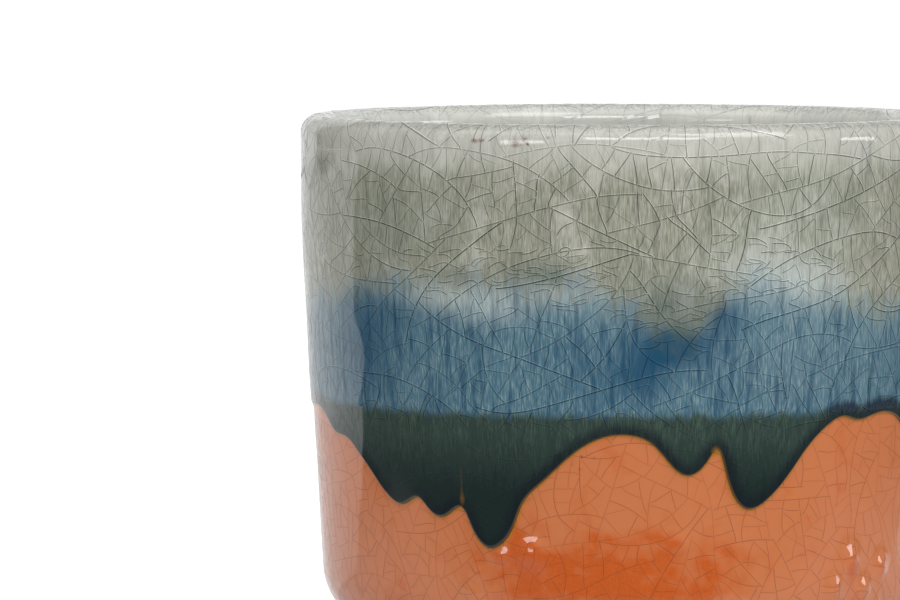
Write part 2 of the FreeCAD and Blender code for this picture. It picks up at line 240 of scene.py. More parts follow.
def pot_shape():
    """Centres, levels and profile lines that the coats share, worked out from the sizes."""
    size = bpy.context.scene.cachepot_sizes
    shape = SimpleNamespace(size=size)
    taper = size.taper_angle
    shape.lip_radius = size.wall_thickness / 2
    shape.lip = size.rim_radius - shape.lip_radius + 1j * (size.crown_level - shape.lip_radius)
    bend_radius = size.bend_height / math.sin(taper)
    shape.bend = size.rim_radius - bend_radius + 1j * (size.crown_level - size.upright_depth)
    bend_end = shape.bend + bend_radius * np.exp(-1j * taper)

    def on_taper(offset, level):
        moved = bend_end + offset * np.exp(-1j * taper)
        return moved.real - (moved.imag - level) * math.tan(taper) + 1j * level

    corner = on_taper(-size.corner_radius, size.underside_level + size.corner_radius)
    inset = size.wall_thickness + size.inner_corner_radius
    inner_corner = on_taper(-inset, size.floor_level + size.inner_corner_radius)
    lap = shape.lip - shape.lip_radius - 1j * (size.pale_coat_lap - shape.lip_radius)
    shape.outer = profile_line(1j, [
        [lap],
        shape.lip + shape.lip_radius * arc(math.pi, 0, 60),
        shape.bend + bend_radius * arc(0, -taper, 60),
        corner + size.corner_radius * arc(-taper, size.orange_end_angle, 60),
    ])
    shape.inner = profile_line(-1j, [
        shape.lip + shape.lip_radius * arc(math.pi / 2, math.pi, 40),
        shape.bend + (bend_radius - size.wall_thickness) * arc(0, -taper, 60),
        inner_corner + size.inner_corner_radius * arc(-taper, -math.pi / 2, 40),
        [1j * size.floor_level],
    ])
    shape.dark_top = size.crown_level - size.dark_band_depth
    shape.dip = size.crown_level - size.dip_line_depth
    shape.tip = shape.dip - size.longest_run
    spots = [spot for run in RUN_EDGE_SHARES for spot in run]
    runs = [place * DEGREE + 1j * (shape.dip - part * size.longest_run) for place, part in spots]
    shape.edge_level = level_table(runs)
    shape.blue_level = level_table([place * DEGREE + 1j * (shape.dip + up * MM) for place, up in BLUE_EDGE])
    return shape


def arc(start, end, count):
    """Unit steps away from a centre, evenly from one angle to another."""
    return np.exp(1j * np.linspace(start, end, count))


def profile_line(outward, stretches):
    """One smooth line through the stretches: its points, the distance along it, and its normals.

    The normal is the direction of travel times outward, 1j or -1j.
    """
    corners = np.concatenate([np.atleast_1d(np.asarray(stretch, complex)) for stretch in stretches])
    along = np.concatenate([[0], np.cumsum(np.abs(np.diff(corners)))])
    corners, along = corners[np.concatenate([[True], np.diff(along) > 1e-9])], np.unique(along)
    stations = np.linspace(0, along[-1], 1600)
    point = np.interp(stations, along, corners)
    travel = np.gradient(point)
    return SimpleNamespace(along=stations, point=point, normal=outward * travel / np.abs(travel))


def at(line, along, height=0.0):
    """Profile points at those distances along a line, moved out from it by a height."""
    return np.interp(along, line.along, line.point) + height * np.interp(along, line.along, line.normal)


def along_at(line, level):
    """The distance along the outer line at which it comes down to a level."""
    start = int(np.argmax(line.point.imag))
    return np.interp(-np.asarray(level), -line.point.imag[start:], line.along[start:])


def closed_spline(points, count):
    """A smooth closed curve through complex points that repeats after 360 degrees in the real part.

    It is the periodic cubic spline on chord lengths: each piece is a cubic whose second derivatives at its
    two ends come from one linear system, which makes the slopes meet.
    """
    points = np.asarray(points)
    chord = np.abs(np.diff(np.append(points, points[0] + 360 * DEGREE)))
    rise = np.diff(np.append(points, points[0] + 360 * DEGREE)) / chord
    number = np.arange(len(points))
    before = number - 1
    system = np.zeros((len(points), len(points)))
    system[number, number] = 2 * (chord[before] + chord)
    system[number, before] += chord[before]
    system[number, (number + 1) % len(points)] += chord
    curving = np.linalg.solve(system, 6 * (rise - rise[before]))
    start = np.concatenate([[0], np.cumsum(chord)])
    where = np.linspace(0, start[-1], count, endpoint=False)
    piece = np.clip(np.searchsorted(start, where, "right") - 1, 0, len(points) - 1)
    step, late, early = chord[piece], curving[(piece + 1) % len(points)], curving[piece]
    on = where - start[piece]
    slope = rise[piece] - step * (2 * early + late) / 6
    return points[piece] + on * slope + on**2 * early / 2 + on**3 * (late - early) / (6 * step)


def level_table(points):
    """A closed curve's levels at EDGE_STEPS azimuths from -180 degrees, from points around the pot."""
    curve = closed_spline(points, 6 * EDGE_STEPS)
    azimuth = curve.real / DEGREE
    order = np.argsort(azimuth)
    wanted = np.linspace(-180, 180, EDGE_STEPS, endpoint=False)
    return np.interp(wanted, azimuth[order], curve.imag[order], period=360)


def look_up(table, azimuth):
    """A table's values at azimuths in radians, read between its entries."""
    place = (np.degrees(azimuth) / 360 + 0.5) % 1 * EDGE_STEPS
    low = np.floor(place).astype(int)
    part = place - low
    return table[low % EDGE_STEPS] * (1 - part) + table[(low + 1) % EDGE_STEPS] * part


def edge_distance(shape, azimuth, level):
    """Signed distance to the runs' edge on the unrolled wall, positive within the dark coat.

    It is the least distance to the edge's short straight pieces within reach, held at EDGE_REACH.
    """
    azimuth, level = np.broadcast_arrays(azimuth, level)
    table = shape.edge_level
    step = 360 / EDGE_STEPS * DEGREE
    place = (np.degrees(azimuth) / 360 + 0.5) % 1 * EDGE_STEPS
    nearest = np.floor(place).astype(int)
    least = np.full(level.shape, EDGE_REACH**2)
    reach = int(EDGE_REACH / step) + 1
    for piece in range(-reach, reach + 1):
        low = table[(nearest + piece) % EDGE_STEPS]
        high = table[(nearest + piece + 1) % EDGE_STEPS]
        from_x = (place - nearest - piece) * step
        from_y = level - low
        rise = high - low
        share = np.clip((from_x * step + from_y * rise) / (step**2 + rise**2), 0, 1)
        least = np.minimum(least, (from_x - share * step) ** 2 + (from_y - share * rise) ** 2)
    return np.sqrt(least) * np.where(level >= look_up(table, azimuth), 1, -1)


def clouds(shape, spots, azimuth, level):
    """Sum of soft oval clouds: each is its amount times e to minus the squared distance in half widths."""
    azimuth, level = np.broadcast_arrays(azimuth, level)
    total = np.zeros(level.shape)
    for centre, height, width, tall, amount in spots:
        aside = (np.degrees(azimuth) - centre + 180) % 360 - 180
        up = (level - shape.dip) / MM - height
        total += amount * np.exp(-(aside / width) ** 2 - (up / tall) ** 2)
    return total


def glaze_readings(shape, azimuth, level):
    """What the glaze materials read at a point of the outside, as named arrays."""
    return {
        "below_blue": np.clip((look_up(shape.blue_level, azimuth) - level) / MM, -12, 24),
        "run_edge": edge_distance(shape, azimuth, level) / MM,
        "pale_cloud": clouds(shape, PALE_CLOUDS, azimuth, level),
        "deep_cloud": clouds(shape, DEEP_CLOUDS, azimuth, level),
        "rich_cloud": clouds(shape, RICH_CLOUDS, azimuth, level),
        "speck": clouds(shape, SPECKS, azimuth, level),
        "golden_spot": clouds(shape, GOLDEN_SPOTS, azimuth, level),
    }


def ripple(shape, azimuth, along, seed=3):
    """The glaze's soft waves: a sum of cosines, each a whole number of waves round the pot."""
    rng = np.random.default_rng(seed)
    total = 0
    for _ in range(16):
        round_the_pot = int(rng.integers(4, 46))
        down = rng.uniform(-2, 2) * math.pi / (16 * MM)
        share = 1 / (1 + round_the_pot / 12)
        total = total + share * np.cos(round_the_pot * azimuth + down * along + rng.uniform(0, 2 * math.pi))
    return shape.size.ripple * total / 2


def orange_height(shape, azimuth, along):
    """The orange coat's outer side above the clay: the coat, its ripple and the blisters' round swellings."""
    level = at(shape.outer, along).imag
    swelling = clouds(shape, BLISTERS, azimuth, level) * MM
    return shape.size.first_coat + ripple(shape, azimuth, along) * settled(shape, along) + swelling


def dark_thickness(shape, level):
    """The dark coat thickens evenly from its upper edge to the tip of the longest run."""
    size = shape.size
    share = (shape.dark_top - level) / (shape.dark_top - shape.tip)
    return size.dark_coat_edge + (size.dark_coat - size.dark_coat_edge) * np.clip(share, 0, 1.05)


def pale_height(shape, along):
    """The pale coat's outer side above the clay: even on the rim, and tapered to nothing at its two edges."""
    size = shape.size
    over = size.first_coat + size.pale_coat
    lap = size.pale_coat_lap - shape.lip_radius
    dip = along_at(shape.outer, shape.dip)
    over_dark = size.first_coat + dark_thickness(shape, shape.dip)
    edge = size.pale_coat_edge
    places = [0, 2.5 * MM, lap, along_at(shape.outer, shape.dark_top), dip - 2.5 * MM, dip]
    heights = [size.first_coat, size.first_coat + edge, over, over, over_dark + edge, over_dark]
    return np.interp(along, places, heights) + HAIR


def turned(profile, azimuth):
    """Profile points, one row for each station, carried round the pot to the azimuths."""
    profile = np.broadcast_to(profile, np.broadcast_shapes(profile.shape, azimuth.shape))
    return np.stack([profile.real * np.sin(azimuth), -profile.real * np.cos(azimuth), profile.imag], -1)


def around(columns):
    return np.linspace(-math.pi, math.pi, columns, endpoint=False)[None, :]


def closed_grid(points):
    """Quads over a grid that closes on itself both ways, turned so that they face out."""
    rows, columns = points.shape[:2]
    number = np.arange(rows * columns).reshape(rows, columns)
    below = np.roll(number, -1, 0)
    corners = [number, below, np.roll(below, -1, 1), np.roll(number, -1, 1)]
    faces = np.stack(corners, -1).reshape(-1, 4)
    flat = points.reshape(-1, 3)
    first, second, third = (flat[faces[:, index]] for index in (0, 1, 2))
    volume = np.einsum("ij,ij->", first, np.cross(second, third))
    return faces if volume > 0 else faces[:, ::-1]


def new_piece(name, points, faces, material, readings=None, replaces=()):
    """A mesh piece that rides on the pot, with its readings as point attributes."""
    mesh = bpy.data.meshes.new(name)
    mesh.from_pydata(points.reshape(-1, 3).tolist(), [], faces.tolist())
    for key, values in (readings or {}).items():
        attribute = mesh.attributes.new(key, "FLOAT", "POINT")
        flat = np.broadcast_to(values, points.shape[:-1]).astype(np.float32).ravel()
        attribute.data.foreach_set("value", flat)
    welded = bmesh.new()
    welded.from_mesh(mesh)
    bmesh.ops.remove_doubles(welded, verts=welded.verts, dist=1e-7)
    welded.to_mesh(mesh)
    welded.free()
    mesh.polygons.foreach_set("use_smooth", np.ones(len(mesh.polygons), bool))
    mesh.materials.append(material)
    piece = bpy.data.objects.new(name, mesh)
    bpy.context.scene.collection.objects.link(piece)
    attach(piece, "root")
    if replaces:
        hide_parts(*replaces)
    return piece


def new_coat(name, replaced, material, points, readings=None):
    """A closed coat over a grid of points, in place of one node."""
    new_piece(name, points, closed_grid(points), material, readings, [replaced])


def coat_points(line, down, height, back, azimuth):
    """Rows down a line at a height, and back on the clay."""
    outside = turned(at(line, down, height), azimuth)
    return np.concatenate([outside, turned(at(line, back), azimuth)])


def settled(shape, along):
    """How much of the ripple is left near the ends of the outer line, 0 to 1."""
    ends = np.minimum(along, shape.outer.along[-1] - along) / (3 * MM)
    return np.clip(ends, 0, 1)


def stations(*runs):
    """Distances along a line: each run is (start, end, steps), and ends where the next one starts."""
    parts = [np.linspace(start, end, steps, endpoint=False) for start, end, steps in runs]
    return np.concatenate([*parts, [runs[-1][1]]])[:, None]


# Cracks that open at one time. gap is the room a new one needs, tries how many are offered, longest their
# reach, lean their heading in degrees or None for the narrowest way across, spread its scatter, bend and
# waver how they curve, strength and thin how dark and how wide they are, where the share that may open.
Wave = namedtuple(
    "Wave", "gap tries longest lean spread bend waver strength thin where", defaults=(1.0, 1.0, None)
)
ROOM = 9 * MM
CRACK_CELL = 0.4 * MM


def spare_room(taken):
    """Distance from every cell to the nearest taken one, at most ROOM. The first axis joins up."""
    reach = int(ROOM / CRACK_CELL)
    steps = range(-reach, reach + 1)
    alone = np.where(taken, 0, ROOM**2).astype(np.float32)
    padded = np.pad(alone, ((0, 0), (reach, reach)), constant_values=ROOM**2)
    down = taken.shape[1]
    column = np.min([padded[:, reach + k:reach + k + down] + (k * CRACK_CELL) ** 2 for k in steps], axis=0)
    nearest = column
    for k in steps:
        nearest = np.minimum(nearest, np.roll(column, k, 0) + (k * CRACK_CELL) ** 2)
    return np.sqrt(nearest)


def narrowest_way(taken, cell_x, cell_y):
    """For each cell, the direction across which the whole glaze around it is narrowest."""
    ways = np.arange(12)[None, :, None] * math.pi / 12
    run = np.arange(1, 36)[None, None, :] * 0.8
    chord = 0
    for side in (run, -run):
        x = np.round(cell_x[:, None, None] + side * np.cos(ways)).astype(int) % taken.shape[0]
        y = np.round(cell_y[:, None, None] + side * np.sin(ways)).astype(int)
        hit = taken[x, np.clip(y, 0, taken.shape[1] - 1)] | (y < 0) | (y >= taken.shape[1])
        chord = chord + np.where(hit.any(2), hit.argmax(2), run.shape[2])
    return ways[0, :, 0][chord.argmin(1)]


def crack_paths(seed, width, height, waves):
    """Crack paths on an unrolled wall that joins up in width: points, crack numbers and wave numbers.

    Each wave opens cracks where the glaze is still whole. Both tips of every crack run on at once, in short
    steps that bend a little, turn towards an older crack close by, and end where they meet one.
    """
    rng = np.random.default_rng(seed)
    shape = (int(round(width / CRACK_CELL)), int(height / CRACK_CELL) + 1)
    owner = np.full(shape, -1, np.int32)
    step = 0.8 * CRACK_CELL
    paths = []
    opened = 0

    def cells(x, y):
        across = np.floor(x / width * shape[0]).astype(int) % shape[0]
        return across, np.clip(y / CRACK_CELL, 0, shape[1] - 1).astype(int)

    for wave_number, wave in enumerate(waves):
        room = spare_room(owner >= 0)
        away_x, away_y = np.gradient(room)
        x, y = rng.uniform(0, width, wave.tries), rng.uniform(0, height, wave.tries)
        free = room[cells(x, y)] > wave.gap
        if wave.where is not None:
            free &= wave.where(x, y) > rng.uniform(0, 1, wave.tries)
        x, y = x[free], y[free]
        apart_x = (x[:, None] - x + width / 2) % width - width / 2
        crowded = np.hypot(apart_x, y[:, None] - y) < 1.5 * wave.gap
        alone = ~np.tril(crowded, -1).any(1)
        x, y = x[alone], y[alone]
        count = len(x)
        if wave.lean is None:
            heading = narrowest_way(owner >= 0, *(place.astype(float) for place in cells(x, y)))
        else:
            heading = np.radians(rng.choice(np.atleast_1d(wave.lean), count))
        heading = heading + np.radians(wave.spread) * rng.uniform(-1, 1, count)
        bend = wave.bend * rng.uniform(-1, 1, count)
        number = np.tile(opened + np.arange(count), 2)
        opened += count
        x, y = np.tile(x, 2), np.tile(y, 2)
        heading, bend = np.append(heading, heading + math.pi), np.append(bend, -bend)
        reach = np.tile(wave.longest * rng.uniform(0.5, 1, count), 2)
        going = np.ones(2 * count, bool)
        track, counted = [x + 1j * y], [going]
        owner[cells(x, y)] = number
        for taken_steps in range(int(wave.longest / step)):
            bend = bend + rng.normal(0, wave.waver, 2 * count)
            here = cells(x, y)
            close = np.clip(1 - room[here] / (1.8 * MM), 0, 1)
            aside = (np.arctan2(-away_y[here], -away_x[here]) - heading + math.pi) % (2 * math.pi) - math.pi
            heading = heading + bend * step + np.where(np.abs(aside) < 1.3, 0.22 * aside * close, 0)
            x = np.where(going, x + step * np.cos(heading), x)
            y = np.where(going, y + step * np.sin(heading), y)
            there = cells(x, y)
            holder = owner[there]
            met = going & (holder >= 0) & (holder != number)
            x = np.where(met, x + CRACK_CELL * np.cos(heading), x)
            y = np.where(met, y + CRACK_CELL * np.sin(heading), y)
            track.append(x + 1j * y)
            counted.append(going)
            going = going & ~met & (y > 0) & (y < height) & (step * (taken_steps + 1) < reach)
            owner[there[0][going], there[1][going]] = number[going]
            beside = (there[0] + 1) % shape[0], there[1]
            still_free = going & (owner[beside] < 0)
            owner[beside[0][still_free], beside[1][still_free]] = number[still_free]
            if not going.any():
                break
        track, counted = np.array(track), np.array(counted)
        whole = np.concatenate([track[:0:-1, :count], track[:, count:]]).T
        valid = np.concatenate([counted[:0:-1, :count], counted[:, count:]]).T
        long_enough = valid.sum(1) * step > 1.2 * MM
        whole, valid = whole[long_enough], valid[long_enough]
        numbers = np.broadcast_to(number[:count][long_enough][:, None], whole.shape)
        paths.append((whole[valid], numbers[valid], np.full(valid.sum(), wave_number)))
    return [np.concatenate(part) for part in zip(*paths)]


def combed(points, crack, wave):
    """The paths smoothed, with every second inner point left out."""
    joined = crack[1:] == crack[:-1]
    inner = np.concatenate([[False], joined[1:] & joined[:-1], [False]])
    for _ in range(4):
        middle = points.copy()
        middle[1:-1] = (points[:-2] + points[2:]) / 2
        points = np.where(inner, (points + middle) / 2, points)
    order = np.arange(len(points))
    start = np.maximum.accumulate(np.where(np.concatenate([[True], ~joined]), order, 0))
    keep = ~inner | ((order - start) % 2 == 0)
    return points[keep], crack[keep], wave[keep]


def crackle_strips(paths, width, thin):
    """Each path as a strip: the two sides' points, side numbers, and how far the normal points to the light.

    A side is the path moved square to itself by half the width, which shrinks to nothing at the ends.
    """
    points, crack, _ = paths
    joined = crack[1:] == crack[:-1]
    first = np.concatenate([[True], ~joined])
    last = np.concatenate([~joined, [True]])
    order = np.arange(len(points))
    from_start = order - np.maximum.accumulate(np.where(first, order, 0))
    to_end = np.minimum.accumulate(np.where(last, order, len(order))[::-1])[::-1] - order
    ahead = points[np.minimum(order + 1, len(order) - 1)]
    behind = points[np.maximum(order - 1, 0)]
    travel = np.where(last, points, ahead) - np.where(first, points, behind)
    square = 1j * travel / np.maximum(np.abs(travel), 1e-9)
    half = 0.5 * width * thin * np.clip(np.minimum(from_start, to_end), 0.4, 1)
    sides = np.stack([points - square * half, points + square * half], -1)
    segment = np.flatnonzero(joined)
    faces = np.stack([2 * segment, 2 * segment + 2, 2 * segment + 3, 2 * segment + 1], -1)
    # How far each side faces the light of the painted highlight.
    lit = (square * np.exp(-1j * PAINTED_LIGHT_TURN)).real
    return sides, faces, np.stack([lit, lit], -1)


def crack_strengths(seed, low, high, crack):
    """A strength for every crack, drawn evenly between low and high, given to each of its points."""
    return np.random.default_rng(seed).uniform(low, high, crack.max() + 1)[crack]


def of_waves(waves, name, wave):
    """What the wave of each point says under that name."""
    return np.array([getattr(each, name) for each in waves])[wave]


def strip_readings(lit, strength):
    """What the line materials read: the strip's side, how far it faces the light of the painted highlight,
    and its strength.
    """
    across = np.broadcast_to([-1.0, 1.0], lit.shape)
    return {"across": across, "lit": lit, "strength": np.broadcast_to(strength, lit.shape)}


def faces_within(kept, faces):
    """The faces of a strip whose two ends are both kept."""
    return faces[kept[faces[:, 0] // 2] & kept[faces[:, 1] // 2]]


def lay_strips(name, points, faces, material, readings):
    """A piece of strips, without the points that no face uses."""
    flat = points.reshape(-1, 3)
    used, faces = np.unique(faces, return_inverse=True)
    faces = faces.reshape(-1, 4)
    readings = {key: np.asarray(values).reshape(-1)[used] for key, values in readings.items()}
    new_piece(name, flat[used], faces, material, readings)


def put(tree, kind, inputs=None, **settings):
    """Adds a node, sets its options, and sets or links its inputs by name or number."""
    node = tree.nodes.new(kind)
    for key, value in settings.items():
        setattr(node, key, value)
    for key, value in (inputs or {}).items():
        if isinstance(value, bpy.types.NodeSocket):
            tree.links.new(value, node.inputs[key])
        else:
            node.inputs[key].default_value = value
    return node


def sum_of(tree, operation, first, second=0.0, third=0.0, clamp=False):
    inputs = {0: first, 1: second, 2: third}
    return put(tree, "ShaderNodeMath", inputs, operation=operation, use_clamp=clamp).outputs[0]


def times(tree, first, second, clamp=False):
    return sum_of(tree, "MULTIPLY", first, second, clamp=clamp)


def plus(tree, first, second):
    return sum_of(tree, "ADD", first, second)


def scaled(tree, value, factor, shift, clamp=False):
    """The value times the factor, plus the shift."""
    return sum_of(tree, "MULTIPLY_ADD", value, factor, shift, clamp)


def blend(tree, amount, first, second, mode="MIX"):
    """Colour first turns to second as the amount goes from 0 to 1."""
    first, second = (c if isinstance(c, bpy.types.NodeSocket) else (*c, 1.0)[:4] for c in (first, second))
    inputs = {0: amount, 6: first, 7: second}
    return put(tree, "ShaderNodeMix", inputs, data_type="RGBA", blend_type=mode, clamp_factor=True).outputs[2]


def fade(tree, value, low, high):
    """0 at low and 1 at high, smooth in between."""
    inputs = {"Value": value, "From Min": low, "From Max": high}
    return put(tree, "ShaderNodeMapRange", inputs, interpolation_type="SMOOTHSTEP").outputs[0]


def reading(tree, name):
    return put(tree, "ShaderNodeAttribute", attribute_name=name, attribute_type="GEOMETRY").outputs["Fac"]


def object_spot(tree):
    return put(tree, "ShaderNodeTexCoord").outputs["Object"]


def grain(tree, size_mm, stretch=1.0, detail=2.0, roughness=0.5, distortion=0.0, shift=0.0):
    """Noise on object coordinates, its grains of that size, drawn out upwards by the stretch."""
    scale = 1 / (size_mm * MM)
    inputs = {0: object_spot(tree), 1: (scale, scale, scale / stretch), 2: (shift, shift, shift)}
    spread = put(tree, "ShaderNodeVectorMath", inputs, operation="MULTIPLY_ADD").outputs[0]
    inputs = {"Vector": spread, "Scale": 1.0, "Detail": detail, "Roughness": roughness}
    return put(tree, "ShaderNodeTexNoise", {**inputs, "Distortion": distortion}).outputs["Fac"]


def height_of(tree):
    return put(tree, "ShaderNodeSeparateXYZ", {0: object_spot(tree)}).outputs["Z"]


def distance_from_axis(tree):
    inputs = {0: object_spot(tree), 1: (1.0, 1.0, 0.0)}
    flat = put(tree, "ShaderNodeVectorMath", inputs, operation="MULTIPLY").outputs[0]
    return put(tree, "ShaderNodeVectorMath", {0: flat}, operation="LENGTH").outputs["Value"]


def grey_glaze_colour(tree, shape, colours, cloud, streak, level):
    """Streaky grey, paler up on the lip with painted light from above, darker in its shade clouds and worn
    along the crown.
    """
    grey = blend(tree, streak, colours.grey_streak, colours.grey)
    grey = blend(tree, times(tree, fade(tree, cloud, 0.5, 0.72), 0.35), grey, colours.rim)
    grey = blend(tree, times(tree, fade(tree, cloud, 0.5, 0.3), 0.35), grey, colours.grey_streak)
    # Painted light from above: the grey turns to the rim colour towards the top of the lip.
    grey = blend(tree, times(tree, fade(tree, level, 108.5 * MM, 118 * MM), 0.55), grey, colours.rim)
    grey = blend(tree, times(tree, reading(tree, "deep_cloud"), 0.8, clamp=True), grey, colours.grey_shade)
    inside = fade(tree, distance_from_axis(tree), 71.2 * MM, 69.8 * MM)
    grey = blend(tree, inside, grey, lining_colour(tree, shape, colours))
    crown = shape.size.crown_level
    worn = times(tree, fade(tree, level, crown - 1.1 * MM, crown - 0.1 * MM), 0.26)
    worn = times(tree, fade(tree, grain(tree, 0.7, 1.0, 2, 0.6, 0.0, 5.0), 0.4, 0.6), worn)
    return blend(tree, worn, grey, colours.grey_shade)


def blue_glaze_colour(tree, colours, fine, coarse, below_blue):
    """Streaky blue, paler near the grey and deeper in its thick patches."""
    blue = blend(tree, times(tree, fade(tree, fine, 0.38, 0.84), 0.85), colours.blue, colours.blue_streak)
    blue = blend(tree, times(tree, fade(tree, coarse, 0.54, 0.3), 0.65), blue, colours.deep_blue)
    pale = times(tree, fade(tree, below_blue, 12.0, -2.0), fade(tree, coarse, 0.3, 0.6))
    blue = blend(tree, times(tree, pale, 0.5), blue, colours.blue_streak)
    return blend(tree, times(tree, reading(tree, "deep_cloud"), 0.85, clamp=True), blue, colours.deep_blue)


def dark_glaze_colour(tree, colours, fine, coarse, depth, edge):
    """Olive streaks that fade downwards, blue-black toes, and golden where the coat is thin."""
    fading = plus(tree, depth, scaled(tree, coarse, 9.0, -4.5))
    streaky = times(tree, fade(tree, fine, 0.36, 0.72), fade(tree, coarse, 0.3, 0.62))
    olive = times(tree, fade(tree, fading, 19.0, 0.0), scaled(tree, streaky, 0.6, 0.27))
    dark = blend(tree, olive, colours.dark, colours.olive)
    toe = times(tree, fade(tree, edge, 3.6, 0.8), scaled(tree, coarse, 0.8, 0.3))
    dark = blend(tree, toe, dark, colours.navy)
    dark = blend(tree, times(tree, fade(tree, edge, 0.4, 0.0), 0.3), dark, colours.golden)
    return blend(tree, fade(tree, reading(tree, "golden_spot"), 0.3, 1.9), dark, colours.golden)


def upper_glaze_colour(tree, shape, colours):
    """Grey over orange, blue over the dark coat, and the dark coat's own streaks below the dip line."""
    fine = grain(tree, 0.24, 12, 2, 0.6, 0.15)
    coarse = grain(tree, 1.5, 9, 2, 0.6, 0.0, 7.0)
    cloud = grain(tree, 8, 1.3, 4, 0.62, 0.4, 3.0)
    streak = fade(tree, scaled(tree, coarse, 0.2, times(tree, fine, 0.9)), 0.34, 0.76)
    level, edge, below_blue = height_of(tree), reading(tree, "run_edge"), reading(tree, "below_blue")
    grey = grey_glaze_colour(tree, shape, colours, cloud, streak, level)
    blue = blue_glaze_colour(tree, colours, fine, coarse, below_blue)

    ragged = scaled(tree, coarse, 8.0, -4.0)
    ragged = plus(tree, ragged, scaled(tree, fine, 5.0, -2.5))
    ragged = plus(tree, ragged, scaled(tree, cloud, 16.0, -8.0))
    over_dark = fade(tree, plus(tree, below_blue, ragged), -4.5, 5.0)
    upper = blend(tree, over_dark, grey, blue)
    bloom = times(tree, reading(tree, "pale_cloud"), scaled(tree, streak, 0.6, 0.5))
    upper = blend(tree, bloom, upper, colours.white_bloom)
    above_edge = plus(tree, edge, scaled(tree, coarse, 2.4, -1.2))
    upper = blend(tree, times(tree, fade(tree, above_edge, 4.6, 2.4), 0.9), upper, colours.blue_black)

    depth = times(tree, sum_of(tree, "SUBTRACT", shape.dip, level), 1 / MM)
    lower = dark_glaze_colour(tree, colours, fine, coarse, depth, edge)
    dipped = fade(tree, plus(tree, depth, scaled(tree, coarse, 4.6, -2.3)), -1.4, 1.3)
    return speckled(tree, blend(tree, dipped, upper, lower), colours)


def speckled(tree, shade, colours):
    """Brown where iron specks have bled into the glaze."""
    return blend(tree, fade(tree, reading(tree, "speck"), 0.25, 0.95), shade, colours.iron)


def orange_glaze_colour(tree, shape, colours):
    """Orange, richer where it lies thick and golden along the runs."""
    cloud = grain(tree, 11, 1.0, 3, 0.5, 0.4)
    speck = grain(tree, 0.5, 1.0, 2, 0.6)
    rich = plus(tree, reading(tree, "rich_cloud"), scaled(tree, cloud, 1.6, -0.85))
    blotch = scaled(tree, grain(tree, 4.0, 1.0, 1, 0.5), 1.7, -0.85)
    rich = scaled(tree, blotch, scaled(tree, rich, 1.0, 0.15, clamp=True), rich)
    base = blend(tree, fade(tree, rich, 0.0, 1.0), colours.orange, colours.rich_orange)
    base = blend(tree, times(tree, fade(tree, speck, 0.3, 0.8), 0.25), base, colours.orange)
    halo = fade(tree, reading(tree, "run_edge"), -0.9, 0.0)
    base = blend(tree, times(tree, halo, 0.65), base, colours.golden)
    base = blend(tree, fade(tree, reading(tree, "golden_spot"), 0.3, 1.2), base, colours.golden)
    return speckled(tree, base, colours)


def lining_colour(tree, shape, colours):
    """Pale grey with soft clouds."""
    cloud = grain(tree, 16, 1.0, 3, 0.55)
    return blend(tree, fade(tree, cloud, 0.35, 0.7), colours.lining_shade, colours.lining)


def painted_highlight_side(tree, across, strength):
    """1 on the side of a strip that faces the light, where the painted highlight goes, 0 on the other."""
    return times(tree, times(tree, across, reading(tree, "lit")), strength, clamp=True)


def crackle_line(tree, shade, colours):
    """A dark core, and a painted highlight on the side towards the light."""
    across, strength = reading(tree, "across"), reading(tree, "strength")
    aside = sum_of(tree, "ABSOLUTE", across)
    core = times(tree, fade(tree, aside, 0.6, 0.28), strength)
    bright = times(tree, fade(tree, aside, 0.35, 0.6), fade(tree, aside, 1.0, 0.75))
    bright = times(tree, times(tree, bright, painted_highlight_side(tree, across, 1.5)), strength)
    # Painted highlight: the side towards the light is made lighter.
    lift = blend(tree, 1.0, shade, (0.8, 0.83, 0.83), "MULTIPLY")
    lift = blend(tree, 1.0, lift, (0.025, 0.03, 0.03), "ADD")
    shade = blend(tree, bright, shade, lift, "ADD")
    dark = blend(tree, 1.0, shade, (0.14, 0.18, 0.19), "MULTIPLY")
    return blend(tree, core, shade, dark)


def craze_line(tree, shade, colours):
    """A thin rust core, and a faint painted highlight on the side towards the light."""
    across, strength = reading(tree, "across"), reading(tree, "strength")
    aside = sum_of(tree, "ABSOLUTE", across)
    core = times(tree, fade(tree, aside, 0.62, 0.35), strength)
    # Painted highlight: a pale side towards the light.
    bright = times(tree, fade(tree, aside, 1.0, 0.5), painted_highlight_side(tree, across, 2.0))
    bright = times(tree, bright, strength)
    shade = blend(tree, times(tree, bright, 0.25), shade, (0.75, 0.36, 0.16))
    return blend(tree, core, shade, colours.rust)


def new_material(name):
    """A material with nodes, and its node tree."""
    material = bpy.data.materials.new(name)
    material.use_nodes = True
    return material, material.node_tree


def glossy_material(name, colour_of, shape, roughness=0.05, gloss=0.5, line=None):
    """A glaze: its colour from nodes, and a smooth glassy surface. line adds a crackle line's shades."""
    material, tree = new_material(name)
    colours = bpy.context.scene.cachepot_colours
    shader = tree.nodes["Principled BSDF"]
    shade = colour_of(tree, shape, colours)
    if line is not None:
        shade = line(tree, shade, colours)
    tree.links.new(shade, shader.inputs["Base Color"])
    shader.inputs["Roughness"].default_value = roughness
    shader.inputs["Specular IOR Level"].default_value = gloss
    shader.inputs["IOR"].default_value = 1.55
    return material


def clay_material():
    """Buff fired clay with iron flecks and a fine tooth, which also raises a bump."""
    material, tree = new_material("clay")
    colours = bpy.context.scene.cachepot_colours
    shader = tree.nodes["Principled BSDF"]
    tooth = grain(tree, 0.35, 1.0, 4, 0.65)
    fleck = fade(tree, grain(tree, 0.8, 1.0, 1, 0.5, 0.0, 9.0), 0.66, 0.74)
    darker = [0.75 * value for value in colours.clay]
    shade = blend(tree, fade(tree, tooth, 0.3, 0.75), darker, colours.clay)
    shade = blend(tree, fleck, shade, colours.clay_fleck)
    tree.links.new(shade, shader.inputs["Base Color"])
    bump = put(tree, "ShaderNodeBump", {"Strength": 0.35, "Distance": 0.1 * MM, "Height": tooth})
    tree.links.new(bump.outputs[0], shader.inputs["Normal"])
    shader.inputs["Roughness"].default_value = 0.82
    return material


